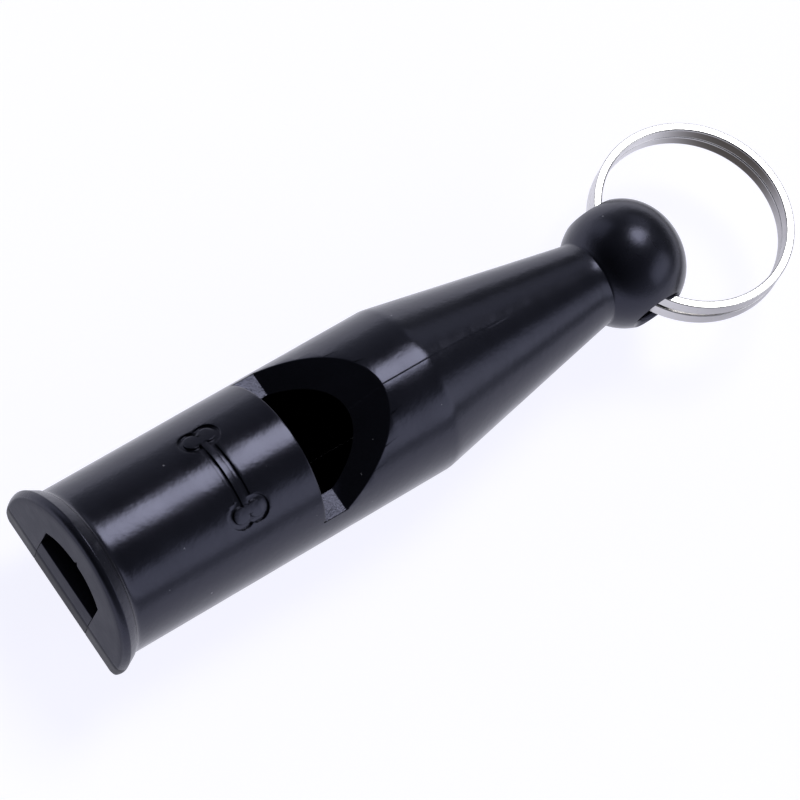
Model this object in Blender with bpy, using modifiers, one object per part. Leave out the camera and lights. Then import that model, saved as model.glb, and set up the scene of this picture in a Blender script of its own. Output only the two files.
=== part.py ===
"""Training whistle: two welded body halves, a windway plug and a split ring.

Modelled in metres. +X runs from the mouth to the ball end, +Z is up through the
window, and Y is across. The origin is the centre of the bounding box's bottom.
"""

import math

import bmesh
import bpy
from mathutils import Matrix, Vector

# ---------------------------------------------------------------- dimensions
MM = 0.001

TUBE_R = 9.5 * MM  # outer radius of the tube
LIP_FACE_R = 10.15 * MM  # flat part of the mouth face
LIP_R = 10.65 * MM  # lip at its widest
LIP_X = 0.95 * MM  # where the lip is widest
LIP_BACK_X = 3.1 * MM  # where the lip has run out into the tube
CREASE_X = 43.8 * MM  # tube ends, cone begins
CONE_END_R = 4.78 * MM
BALL_X = 73.7 * MM
BALL_R = 7.03 * MM  # across the whistle
BALL_END_A = 6.62 * MM  # along the whistle, from its widest to the far end
BALL_END_POWER = 2.18  # a little squarer than an ellipse towards the far end
BALL_NECK_A = 6.6 * MM  # along the whistle, from its widest towards the neck

CHAMBER_R = 7.0 * MM
CHAMBER_START_X = 26.1 * MM  # reaches a little under the window's front wall
CHAMBER_END_X = 43.3 * MM
WINDOW_X = 26.4 * MM  # front wall of the window
LEDGE_X = 29.1 * MM  # ledges end, ramp begins
LEDGE_Z = 3.75 * MM
RAMP_TOP_X = 37.9 * MM  # ramp meets the top of the tube

FACE_FOLD_Z = -0.35 * MM  # the face leans back below this
FACE_LEAN = 0.55 * MM  # how far it leans back at its lower edge
FACE_BOTTOM_Z = -3.25 * MM
THROAT_X = 3.0 * MM  # underside just behind the lip
THROAT_Z = -2.75 * MM
SLOPE_END_X = 20.0 * MM  # underside slope meets the tube's bottom

WINDWAY_HALF_W = 4.75 * MM
WINDWAY_TOP_R = 6.55 * MM  # arched ceiling, about the tube's axis
CHANNEL_FLOOR_Z = -5.0 * MM
PLUG_TOP_MOUTH_Z = 1.8 * MM
PLUG_TOP_WINDOW_Z = 4.8 * MM
FIT_GAP = 0.25 * MM
SEAM_GAP = 0.3 * MM

HOLE_X = 74.2 * MM  # cross hole through the ball
HOLE_R = 2.7 * MM
HOLE_FLARE = 0.35 * MM  # bevel round each mouth of the hole
RING_OUTER_R = 11.4 * MM
RING_WIRE_W = 0.97 * MM  # radial width of the flat wire
RING_WIRE_H = 1.42 * MM
RING_PITCH = 1.58 * MM  # one turn's rise
RING_SPREAD = 0.5 * MM  # the lower turn springs open this much at its end
RING_SPREAD_ANGLE = math.radians(150.0)  # and closes up over this arc
RING_REACH = 9.72 * MM  # hole's centre to the ring's centre, along the whistle
RING_SIDE = 0.38 * MM  # the ring has slid this far across
RING_SAG = 0.52 * MM  # ring's centre below the hole's
RING_PITCH_TILT = 0.034  # slopes of the ring's plane at rest, along and across
RING_ROLL_TILT = 0.059
RING_END_ANGLE = math.radians(194.0)  # where the wire starts, seen from above: inside the hole
RING_RISE_ANGLE = math.radians(28.0)  # arc over which it climbs a layer

SIDES = 64  # around the tube; a flat, not a corner, faces down
RING_SIDES = 56

LENGTH = HOLE_X + RING_REACH + RING_OUTER_R * math.cos(RING_PITCH_TILT)
AXIS_X0 = -LENGTH / 2 - 0.026 * MM  # world x of the mouth face
AXIS_Y0 = -RING_SIDE
AXIS_Z0 = TUBE_R * math.cos(math.pi / SIDES)  # world z of the whistle's axis

# ---------------------------------------------------------------- scene
for old in list(bpy.data.objects):
    bpy.data.objects.remove(old, do_unlink=True)

scene = bpy.context.scene
parts = bpy.data.collections.new("training_whistle")
cutters = bpy.data.collections.new("cutters")
scene.collection.children.link(parts)
scene.collection.children.link(cutters)


def material(name, color, roughness, metallic):
    mat = bpy.data.materials.new(name)
    mat.use_nodes = True
    bsdf = mat.node_tree.nodes["Principled BSDF"]
    bsdf.inputs["Base Color"].default_value = (*color, 1.0)
    bsdf.inputs["Roughness"].default_value = roughness
    bsdf.inputs["Metallic"].default_value = metallic
    return mat


body_black = material("body_black", (0.018, 0.018, 0.024), 0.38, 0.0)
plug_black = material("plug_black", (0.022, 0.022, 0.026), 0.45, 0.0)
ring_nickel = material("ring_nickel", (0.78, 0.76, 0.73), 0.18, 1.0)

whistle_axis = bpy.data.objects.new("whistle_axis", None)
whistle_axis.location = (AXIS_X0, AXIS_Y0, AXIS_Z0)
parts.objects.link(whistle_axis)


def cutter(obj):
    obj.hide_render = True
    obj.display_type = "WIRE"
    for coll in obj.users_collection:
        coll.objects.unlink(obj)
    cutters.objects.link(obj)
    obj.parent = whistle_axis
    return obj


def subtract(obj, tool, name):
    mod = obj.modifiers.new(name, "BOOLEAN")
    mod.operation = "DIFFERENCE"
    mod.solver = "EXACT"
    mod.object = tool


def prism(name, outline, half_width, y0=0.0):
    """A closed block: an (x, z) outline carried across Y."""
    mesh = bpy.data.meshes.new(name)
    bm = bmesh.new()
    near = [bm.verts.new((x, y0 - half_width, z)) for x, z in outline]
    face = bm.faces.new(near)
    moved = bmesh.ops.extrude_face_region(bm, geom=[face])
    far = [g for g in moved["geom"] if isinstance(g, bmesh.types.BMVert)]
    bmesh.ops.translate(bm, verts=far, vec=(0.0, 2 * half_width, 0.0))
    bmesh.ops.recalc_face_normals(bm, faces=bm.faces)
    bm.to_mesh(mesh)
    bm.free()
    obj = bpy.data.objects.new(name, mesh)
    parts.objects.link(obj)
    obj.parent = whistle_axis
    return obj


def rod(name, radius, length, centre, rotation, sides):
    """A round cutter that starts as a cylinder primitive."""
    bpy.ops.mesh.primitive_cylinder_add(vertices=sides, radius=radius, depth=length)
    obj = bpy.context.active_object
    obj.name = name
    obj.location = centre
    obj.rotation_euler = rotation
    return cutter(obj)


def arc(cx, cr, radius, start, end, steps):
    """Points (axial, radial) on an arc; angles in degrees from the axial direction."""
    found = []
    for i in range(steps + 1):
        a = math.radians(start + (end - start) * i / steps)
        found.append((cx + radius * math.cos(a), cr + radius * math.sin(a)))
    return found


# ---------------------------------------------------------------- body
def ball_radius(x):
    """The ball's radius at this distance from the mouth."""
    if x > BALL_X:
        u = min(1.0, (x - BALL_X) / BALL_END_A)
        return BALL_R * (1 - u**BALL_END_POWER) ** (1 / BALL_END_POWER)
    u = min(1.0, (BALL_X - x) / BALL_NECK_A)
    return BALL_R * math.sqrt(1 - u * u)


def body_profile():
    """(axial, radius) from the ball's far end to the centre of the mouth face."""
    # the cone's line and the ball cross at the neck
    slope = (TUBE_R - CONE_END_R) / (68.8 * MM - CREASE_X)
    x = CREASE_X
    while x < BALL_X - BALL_NECK_A or TUBE_R - slope * (x - CREASE_X) > ball_radius(x):
        x += 0.02 * MM
    joint = x
    neck_r = TUBE_R - slope * (joint - CREASE_X)
    points = [(BALL_X + BALL_END_A, 0.0)]
    for degrees in (7, 14, 21, 28, 35, 42, 49, 56, 63, 70, 77, 84, 90):
        a = math.radians(degrees)
        squash = 2 / BALL_END_POWER
        points.append((BALL_X + BALL_END_A * max(0.0, math.cos(a)) ** squash, BALL_R * math.sin(a) ** squash))
    steps = 6
    last = math.acos((BALL_X - joint) / BALL_NECK_A)
    for i in range(1, steps):
        a = math.pi / 2 - (math.pi / 2 - last) * i / steps
        points.append((BALL_X - BALL_NECK_A * math.cos(a), BALL_R * math.sin(a)))
    points += [(joint, neck_r), (joint - 0.8 * MM, neck_r + slope * 0.8 * MM + 0.02 * MM)]
    points += [(CREASE_X + 0.6 * MM, TUBE_R - slope * 0.6 * MM - 0.01 * MM), (CREASE_X - 0.5 * MM, TUBE_R)]
    # lip: concave run-out, round rim, flat face
    points += [(LIP_BACK_X, TUBE_R), (2.45 * MM, TUBE_R + 0.14 * MM), (2.05 * MM, TUBE_R + 0.42 * MM)]
    points += [(1.72 * MM, TUBE_R + 0.84 * MM), (1.42 * MM, LIP_R - 0.06 * MM), (LIP_X, LIP_R)]
    points += [(0.5 * MM, LIP_R - 0.06 * MM), (0.16 * MM, LIP_R - 0.24 * MM), (0.0, LIP_FACE_R), (0.0, 0.0)]
    return points


def turned(name, profile, sides=SIDES):
    """A body turned about the whistle's axis, one flat facing straight down."""
    mesh = bpy.data.meshes.new(name)
    # the object's own Z is the whistle's axis; the profile stands at +X
    mesh.from_pydata([(r, 0.0, x) for x, r in profile], [(i, i + 1) for i in range(len(profile) - 1)], [])
    obj = bpy.data.objects.new(name, mesh)
    parts.objects.link(obj)
    obj.parent = whistle_axis
    obj.rotation_euler = (Matrix.Rotation(math.pi / 2, 3, "Y") @ Matrix.Rotation(math.pi / sides, 3, "Z")).to_euler()
    screw = obj.modifiers.new("turn", "SCREW")
    screw.axis = "Z"
    screw.steps = sides
    screw.render_steps = sides
    screw.use_merge_vertices = True
    screw.merge_threshold = 0.00001
    screw.use_normal_calculate = True
    return obj


underside = cutter(
    prism(
        "cut_underside",
        [
            (-3 * MM, -14 * MM),
            (-3 * MM, FACE_FOLD_Z),
            (0.0, FACE_FOLD_Z),
            (FACE_LEAN - 0.1 * MM, FACE_BOTTOM_Z + 0.55 * MM),
            (FACE_LEAN + 0.1 * MM, FACE_BOTTOM_Z + 0.15 * MM),
            (FACE_LEAN + 0.5 * MM, FACE_BOTTOM_Z),
            (1.7 * MM, FACE_BOTTOM_Z),
            (2.15 * MM, FACE_BOTTOM_Z + 0.14 * MM),
            (2.5 * MM, THROAT_Z + 0.1 * MM),
            (THROAT_X, THROAT_Z),
            (SLOPE_END_X, -TUBE_R),
            (SLOPE_END_X + 1.2 * MM, -TUBE_R - 0.5 * MM),
            (SLOPE_END_X + 1.2 * MM, -14 * MM),
        ],
        14 * MM,
    )
)

channel_outline = [(-WINDWAY_HALF_W, CHANNEL_FLOOR_Z), (WINDWAY_HALF_W, CHANNEL_FLOOR_Z)]
edge = math.degrees(math.acos(WINDWAY_HALF_W / WINDWAY_TOP_R))
channel_outline += arc(0.0, 0.0, WINDWAY_TOP_R, edge, 180.0 - edge, 10)
channel = prism("cut_channel", channel_outline, (WINDOW_X + 2.4 * MM) / 2)
# the outline was drawn across Y and Z: turn it so that it runs along X
channel.rotation_euler = (0.0, 0.0, math.pi / 2)
channel.location = ((WINDOW_X + 2.4 * MM) / 2 - 2.0 * MM, 0.0, 0.0)
cutter(channel)

chamber = rod(
    "cut_chamber",
    CHAMBER_R,
    CHAMBER_END_X - CHAMBER_START_X,
    ((CHAMBER_END_X + CHAMBER_START_X) / 2, 0.0, 0.0),
    (0.0, math.pi / 2, 0.0),
    48,
)

ramp_slope = (TUBE_R - LEDGE_Z) / (RAMP_TOP_X - LEDGE_X)
window = cutter(
    prism(
        "cut_window",
        [
            (WINDOW_X, LEDGE_Z),
            (LEDGE_X, LEDGE_Z),
            (LEDGE_X + (13 * MM - LEDGE_Z) / ramp_slope, 13 * MM),
            (WINDOW_X, 13 * MM),
        ],
        14 * MM,
    )
)

# the cross hole opens out a little at each mouth
mouth_y = math.sqrt(BALL_R**2 - (HOLE_R + HOLE_FLARE) ** 2)
cross_hole = turned(
    "cut_cross_hole",
    [
        (12 * MM, 0.0),
        (12 * MM, HOLE_R + HOLE_FLARE + 12 * MM - mouth_y),
        (mouth_y - HOLE_FLARE, HOLE_R),
        (-mouth_y + HOLE_FLARE, HOLE_R),
        (-12 * MM, HOLE_R + HOLE_FLARE + 12 * MM - mouth_y),
        (-12 * MM, 0.0),
    ],
    32,
)
cross_hole.modifiers["turn"].use_normal_flip = True
cross_hole.location = (HOLE_X, 0.0, 0.0)
cross_hole.rotation_euler = (math.pi / 2, 0.0, 0.0)
cutter(cross_hole)

for side, sign in (("left", 1.0), ("right", -1.0)):
    half = turned("body_" + side, body_profile())
    half.data.materials.append(body_black)
    bpy.ops.mesh.primitive_cube_add(size=1.0)
    other_side = bpy.context.active_object
    other_side.name = "cut_other_side_of_" + side
    other_side.data.transform(Matrix.Diagonal((0.1, 0.03, 0.04, 1.0)))
    other_side.location = (0.04, -sign * (0.015 - SEAM_GAP / 2), 0.0)
    cutter(other_side)
    subtract(half, chamber, "chamber")
    subtract(half, channel, "channel")
    subtract(half, underside, "underside")
    subtract(half, window, "window")
    subtract(half, cross_hole, "cross_hole")
    subtract(half, other_side, "split")

# ---------------------------------------------------------------- plug
plug_end_x = WINDOW_X
slope_angle = math.atan2(THROAT_Z + TUBE_R, SLOPE_END_X - THROAT_X)
floor_z = CHANNEL_FLOOR_Z + FIT_GAP
floor_x = THROAT_X + (THROAT_Z - floor_z) / math.tan(slope_angle)
plug = prism(
    "windway_plug",
    [
        (0.0, PLUG_TOP_MOUTH_Z),
        (0.0, FACE_FOLD_Z),
        (FACE_LEAN - 0.1 * MM, FACE_BOTTOM_Z + 0.55 * MM),
        (FACE_LEAN + 0.1 * MM, FACE_BOTTOM_Z + 0.15 * MM),
        (FACE_LEAN + 0.5 * MM, FACE_BOTTOM_Z),
        (1.7 * MM, FACE_BOTTOM_Z),
        (2.15 * MM, FACE_BOTTOM_Z + 0.14 * MM),
        (2.5 * MM, THROAT_Z + 0.1 * MM),
        (THROAT_X, THROAT_Z),
        (floor_x, floor_z),
        (plug_end_x, floor_z),
        (plug_end_x, PLUG_TOP_WINDOW_Z),
    ],
    WINDWAY_HALF_W - FIT_GAP,
)
plug.data.materials.append(plug_black)
# the plug's upper long corners stay clear of the arched ceiling
ceiling_outline = arc(0.0, 0.0, WINDWAY_TOP_R - FIT_GAP, 0.0, 180.0, 24)
ceiling_outline += [(-12 * MM, 0.0), (-12 * MM, 12 * MM), (12 * MM, 12 * MM), (12 * MM, 0.0)]
ceiling = prism("cut_plug_corners", ceiling_outline, 20 * MM)
ceiling.rotation_euler = (0.0, 0.0, math.pi / 2)
ceiling.location = (14 * MM, 0.0, 0.0)
cutter(ceiling)
subtract(plug, ceiling, "corners")

# ---------------------------------------------------------------- split ring
ring_pivot = bpy.data.objects.new("ring_pivot", None)
ring_pivot.location = (HOLE_X, 0.0, 0.0)
ring_pivot.parent = whistle_axis
parts.objects.link(ring_pivot)


def ring_height(turned_by):
    """Height of the wire after this angle: low layer, short climb, high layer."""
    climb_from = 2 * math.pi - RING_RISE_ANGLE
    t = min(1.0, max(0.0, (turned_by - climb_from) / RING_RISE_ANGLE))
    opened = math.cos(min(1.0, turned_by / RING_SPREAD_ANGLE) * math.pi / 2) ** 2
    return RING_PITCH * (t * t * (3 - 2 * t) - 0.5) - RING_SPREAD * opened


section = bpy.data.curves.new("ring_wire_section", "CURVE")
section.dimensions = "2D"
w, h, c = RING_WIRE_W / 2, RING_WIRE_H / 2, 0.16 * MM
outline = [(-w + c, -h), (w - c, -h), (w, -h + c), (w, h - c), (w - c, h), (-w + c, h), (-w, h - c), (-w, -h + c)]
loop = section.splines.new("POLY")
loop.points.add(len(outline) - 1)
for point, (px, py) in zip(loop.points, outline):
    point.co = (px, py, 0.0, 1.0)
loop.use_cyclic_u = True
section_obj = bpy.data.objects.new("ring_wire_section", section)
cutters.objects.link(section_obj)
section_obj.hide_render = True
section_obj.display_type = "WIRE"

path = bpy.data.curves.new("ring_path", "CURVE")
path.dimensions = "3D"
path.twist_mode = "Z_UP"
path.bevel_mode = "OBJECT"
path.bevel_object = section_obj
path.use_fill_caps = True
wire = path.splines.new("POLY")
total_turn = 4 * math.pi - RING_RISE_ANGLE - math.radians(1.5)
count = int(total_turn / (2 * math.pi) * RING_SIDES) + 1
wire.points.add(count - 1)
mean_r = RING_OUTER_R - RING_WIRE_W / 2
for i, point in enumerate(wire.points):
    turn = total_turn * i / (count - 1)
    a = RING_END_ANGLE + turn
    point.co = (mean_r * math.cos(a), mean_r * math.sin(a), ring_height(turn), 1.0)
path_obj = bpy.data.objects.new("ring_path", path)
scene.collection.objects.link(path_obj)
bpy.context.view_layer.update()
graph = bpy.context.evaluated_depsgraph_get()
ring_mesh = bpy.data.meshes.new_from_object(path_obj.evaluated_get(graph))
ring_mesh.name = "split_ring"
bm = bmesh.new()
bm.from_mesh(ring_mesh)
bmesh.ops.remove_doubles(bm, verts=bm.verts, dist=0.00001)
bmesh.ops.recalc_face_normals(bm, faces=bm.faces)
# the ring's own plane, tilted as it rests, with the pivot at the hole's centre
lies = Matrix.Rotation(RING_PITCH_TILT, 4, "Y") @ Matrix.Rotation(-RING_ROLL_TILT, 4, "X")
bm.transform(Matrix.Translation((RING_REACH, RING_SIDE, -RING_SAG)) @ lies)
bm.to_mesh(ring_mesh)
bm.free()
ring = bpy.data.objects.new("split_ring", ring_mesh)
parts.objects.link(ring)
ring.parent = ring_pivot
ring.data.materials.clear()
ring.data.materials.append(ring_nickel)
bpy.data.objects.remove(path_obj, do_unlink=True)

for obj in parts.objects:
    if obj.type == "MESH":
        for poly in obj.data.polygons:
            poly.use_smooth = False
ring.data.shade_smooth()
ring.data.set_sharp_from_angle(angle=math.radians(35))
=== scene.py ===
import math

import bmesh
import bpy
from mathutils import Matrix, Vector


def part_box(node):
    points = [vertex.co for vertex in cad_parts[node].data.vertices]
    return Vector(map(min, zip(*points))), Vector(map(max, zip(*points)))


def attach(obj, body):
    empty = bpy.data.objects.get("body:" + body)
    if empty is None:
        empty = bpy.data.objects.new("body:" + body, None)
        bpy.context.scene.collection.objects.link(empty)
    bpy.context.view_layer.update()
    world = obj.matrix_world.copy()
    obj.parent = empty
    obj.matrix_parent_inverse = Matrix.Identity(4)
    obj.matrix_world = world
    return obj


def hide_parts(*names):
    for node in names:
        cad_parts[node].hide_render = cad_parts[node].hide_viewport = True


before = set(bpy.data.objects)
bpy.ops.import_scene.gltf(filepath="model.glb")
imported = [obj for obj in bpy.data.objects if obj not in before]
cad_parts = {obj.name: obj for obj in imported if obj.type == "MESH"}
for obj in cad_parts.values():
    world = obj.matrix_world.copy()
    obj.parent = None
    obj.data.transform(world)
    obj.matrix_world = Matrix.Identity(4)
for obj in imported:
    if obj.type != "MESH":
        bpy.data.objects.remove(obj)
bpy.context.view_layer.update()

# ---------------------------------------------------------------- frame
# Shapes are drawn in millimetres in the whistle's own frame: X from the mouth
# face, Y across, Z up, with the tube's axis at Y = Z = 0.
MM = 0.001
left_lo, left_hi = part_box("body_left")
right_lo, right_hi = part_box("body_right")
AX = min(left_lo.x, right_lo.x)
AY = (left_lo.y + right_hi.y) / 2
AZ = left_hi.z * 9.5 / (9.5 + 10.65)
TO_WORLD = Matrix.Translation((AX, AY, AZ)) @ Matrix.Scale(MM, 4)

FLAT = math.cos(math.pi / 64)  # the CAD tube's flats: the round one stays inside them
TUBE_R = 9.5 * FLAT
LIP_R = 10.64 * FLAT
FACE_R = 10.15 * FLAT
CREASE_X, NECK_LINE_X, CONE_END_R = 43.8, 68.8, 4.78 * FLAT
BALL_X, BALL_R, BALL_END_A, BALL_END_POWER, BALL_NECK_A = 73.7, 7.03 * FLAT, 6.62, 2.18, 6.6
CHAMBER_R, CHAMBER_START, CHAMBER_END = 7.0, 26.1, 43.3
WINDOW_X, LEDGE_X, LEDGE_Z, RAMP_TOP_X = 26.4, 29.1, 3.75, 37.9
FOLD_Z, FACE_LEAN, FACE_BOTTOM = -0.35, 0.38, -3.62
THROAT_X, THROAT_Z, SLOPE_END_X = 3.0, -2.75, 20.0
WINDWAY_W, WINDWAY_R, FLOOR_Z = 4.75, 6.55, -5.0
PLUG_MOUTH_Z, PLUG_WINDOW_Z = 1.8, 4.8
HOLE_X, HOLE_R = 74.2, 2.7
RING_R, RING_W, RING_H, RING_PITCH = 11.38, 0.97, 1.56, 1.58
RING_SPREAD, RING_SPREAD_ANGLE = 0.5, math.radians(150)
RING_CENTRE = Vector((74.2 + 9.72, 0.38, -0.52))
RING_TILT, RING_ROLL = 0.034, 0.059
RING_START, RING_RISE = math.radians(194), math.radians(28)
SEAM_Y = -0.3

SIDES = 240
collection = bpy.context.scene.collection


# ---------------------------------------------------------------- mesh tools
def add_object(name, mesh):
    obj = bpy.data.objects.new(name, mesh)
    collection.objects.link(obj)
    return obj


def mesh_from(name, verts, faces):
    mesh = bpy.data.meshes.new(name)
    mesh.from_pydata([tuple(v) for v in verts], [], [tuple(f) for f in faces])
    mesh.update()
    return mesh


def lathe(name, profile, sides, axis="X", centre=(0.0, 0.0, 0.0), start=0.0):
    """A closed turned solid. profile is (along, radius); a radius of 0 is a point on the axis."""
    verts, rings = [], []
    for along, radius in profile:
        if radius < 1e-6:
            rings.append([len(verts)])
            verts.append((along, 0.0, 0.0))
            continue
        rings.append(list(range(len(verts), len(verts) + sides)))
        for i in range(sides):
            a = start + 2 * math.pi * i / sides
            verts.append((along, radius * math.cos(a), radius * math.sin(a)))
    faces = []
    for a, b in zip(rings, rings[1:]):
        for i in range(sides):
            j = (i + 1) % sides
            if len(a) == 1:
                faces.append((a[0], b[i], b[j]))
            elif len(b) == 1:
                faces.append((a[j], a[i], b[0]))
            else:
                faces.append((a[i], b[i], b[j], a[j]))
    if len(rings[0]) > 1:
        faces.append(tuple(rings[0]))
    if len(rings[-1]) > 1:
        faces.append(tuple(reversed(rings[-1])))
    if axis == "Y":
        verts = [(y, x, z) for x, y, z in verts]
    mesh = mesh_from(name, verts, faces)
    bm = bmesh.new()
    bm.from_mesh(mesh)
    bmesh.ops.recalc_face_normals(bm, faces=bm.faces)
    bmesh.ops.translate(bm, verts=bm.verts, vec=centre)
    bm.to_mesh(mesh)
    bm.free()
    return add_object(name, mesh)


def prism(name, outline, y0, y1):
    """An (x, z) outline carried from y0 to y1."""
    n = len(outline)
    verts = [(x, y0, z) for x, z in outline] + [(x, y1, z) for x, z in outline]
    faces = [tuple(range(n)), tuple(range(2 * n - 1, n - 1, -1))]
    faces += [(i, i + n, (i + 1) % n + n, (i + 1) % n) for i in range(n)]
    mesh = mesh_from(name, verts, faces)
    bm = bmesh.new()
    bm.from_mesh(mesh)
    bmesh.ops.recalc_face_normals(bm, faces=bm.faces)
    bm.to_mesh(mesh)
    bm.free()
    return add_object(name, mesh)


def prism_x(name, outline, x0, x1):
    """A (y, z) outline carried from x0 to x1."""
    obj = prism(name, outline, x0, x1)
    obj.data.transform(Matrix(((0, 1, 0, 0), (1, 0, 0, 0), (0, 0, 1, 0), (0, 0, 0, 1))))
    obj.data.flip_normals()
    return obj


def arc(ca, cb, radius, start, end, steps):
    """Points (a, b) on an arc; angles in degrees."""
    angles = [math.radians(start + (end - start) * i / steps) for i in range(steps + 1)]
    return [(ca + radius * math.cos(t), cb + radius * math.sin(t)) for t in angles]


def rounded(corners, segments=5):
    """An outline whose corners are rounded: corners are (a, b, radius)."""
    out = []
    n = len(corners)
    for i, (a, b, r) in enumerate(corners):
        p = Vector((a, b))
        if r <= 0:
            out.append((a, b))
            continue
        q0 = Vector(corners[i - 1][:2])
        q1 = Vector(corners[(i + 1) % n][:2])
        d0, d1 = (q0 - p).normalized(), (q1 - p).normalized()
        half = math.acos(max(-1.0, min(1.0, d0.dot(d1)))) / 2
        reach = min(r / math.tan(half), (q0 - p).length * 0.48, (q1 - p).length * 0.48)
        s, e = p + d0 * reach, p + d1 * reach
        for k in range(segments + 1):
            t = k / segments
            m = s * (1 - t) ** 2 + p * 2 * t * (1 - t) + e * t * t
            out.append((m.x, m.y))
    return out


def smooth_line(points, steps):
    """A Catmull-Rom line through the points."""
    out = []
    pts = [Vector(p) for p in points]
    for i in range(len(pts) - 1):
        p0 = pts[i - 1] if i else pts[0] * 2 - pts[1]
        p1, p2 = pts[i], pts[i + 1]
        p3 = pts[i + 2] if i + 2 < len(pts) else pts[-1] * 2 - pts[-2]
        for k in range(steps):
            t = k / steps
            out.append(
                tuple(
                    0.5
                    * (
                        2 * p1
                        + (p2 - p0) * t
                        + (2 * p0 - 5 * p1 + 4 * p2 - p3) * t * t
                        + (3 * p1 - p0 - 3 * p2 + p3) * t**3
                    )
                )
            )
    out.append(tuple(pts[-1]))
    return out


def evaluated_mesh(obj, name):
    bpy.context.view_layer.update()
    graph = bpy.context.evaluated_depsgraph_get()
    mesh = bpy.data.meshes.new_from_object(obj.evaluated_get(graph))
    mesh.name = name
    return mesh


def cut(obj, cutters):
    """Subtracts the cutters one after another and keeps the result as a plain mesh."""
    for tool in cutters:
        mod = obj.modifiers.new("cut", "BOOLEAN")
        mod.operation = "DIFFERENCE"
        mod.solver = "EXACT"
        mod.object = tool
    mesh = evaluated_mesh(obj, obj.name)
    obj.modifiers.clear()
    old, obj.data = obj.data, mesh
    bpy.data.meshes.remove(old)
    return obj


def soften_edges(obj, width_of, angle=24.0):
    """Rounds the sharp edges: width_of(edge, middle) gives each one's width in millimetres."""
    bm = bmesh.new()
    bm.from_mesh(obj.data)
    bmesh.ops.remove_doubles(bm, verts=bm.verts, dist=0.002)
    bmesh.ops.dissolve_degenerate(bm, edges=bm.edges, dist=0.002)
    bm.normal_update()
    layer = bm.edges.layers.float.get("bevel_weight_edge") or bm.edges.layers.float.new("bevel_weight_edge")
    widest = 0.4
    for edge in bm.edges:
        edge[layer] = 0.0
        if len(edge.link_faces) != 2:
            continue
        if math.degrees(edge.calc_face_angle(0.0)) > angle:
            middle = (edge.verts[0].co + edge.verts[1].co) / 2
            edge[layer] = min(1.0, max(0.0, width_of(edge, middle)) / widest)
    bm.to_mesh(obj.data)
    bm.free()
    mod = obj.modifiers.new("bevel", "BEVEL")
    mod.limit_method = "WEIGHT"
    mod.offset_type = "OFFSET"
    mod.width = widest
    mod.segments = 3
    mod.profile = 0.5
    mod.use_clamp_overlap = False
    mod.miter_outer = "MITER_SHARP"
    mesh = evaluated_mesh(obj, obj.name)
    obj.modifiers.clear()
    old, obj.data = obj.data, mesh
    bpy.data.meshes.remove(old)
    return obj


def place(obj, body, nodes, material, sharp=40.0):
    """Moves a finished mesh from millimetres to the world, shades it and puts it on its CAD body."""
    bm = bmesh.new()
    bm.from_mesh(obj.data)
    bmesh.ops.remove_doubles(bm, verts=bm.verts, dist=0.0005)
    bmesh.ops.dissolve_degenerate(bm, edges=bm.edges, dist=0.0005)
    bm.to_mesh(obj.data)
    bm.free()
    folds = []
    for edge in obj.data.edges:
        a, b = (obj.data.vertices[i].co for i in edge.vertices)
        if max(abs(a.x), abs(b.x)) < 0.04 and max(abs(a.z - FOLD_Z), abs(b.z - FOLD_Z)) < 0.04 and (a - b).length > 0.05:
            folds.append(edge.index)
    obj.data.transform(TO_WORLD)
    obj.data.shade_smooth()
    obj.data.set_sharp_from_angle(angle=math.radians(sharp))
    for index in folds:
        obj.data.edges[index].use_edge_sharp = True
    weighted = obj.modifiers.new("even_shading", "WEIGHTED_NORMAL")
    weighted.keep_sharp = True
    weighted.weight = 60
    obj.data.materials.clear()
    obj.data.materials.append(material)
    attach(obj, body)
    if nodes:
        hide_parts(*nodes)
    return obj


# ---------------------------------------------------------------- materials
def new_material(name):
    mat = bpy.data.materials.new(name)
    mat.use_nodes = True
    tree = mat.node_tree
    return mat, tree, tree.nodes["Principled BSDF"]


def node(tree, kind, **values):
    made = tree.nodes.new(kind)
    for key, value in values.items():
        if key in made.inputs:
            made.inputs[key].default_value = value
        else:
            setattr(made, key, value)
    return made


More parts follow.
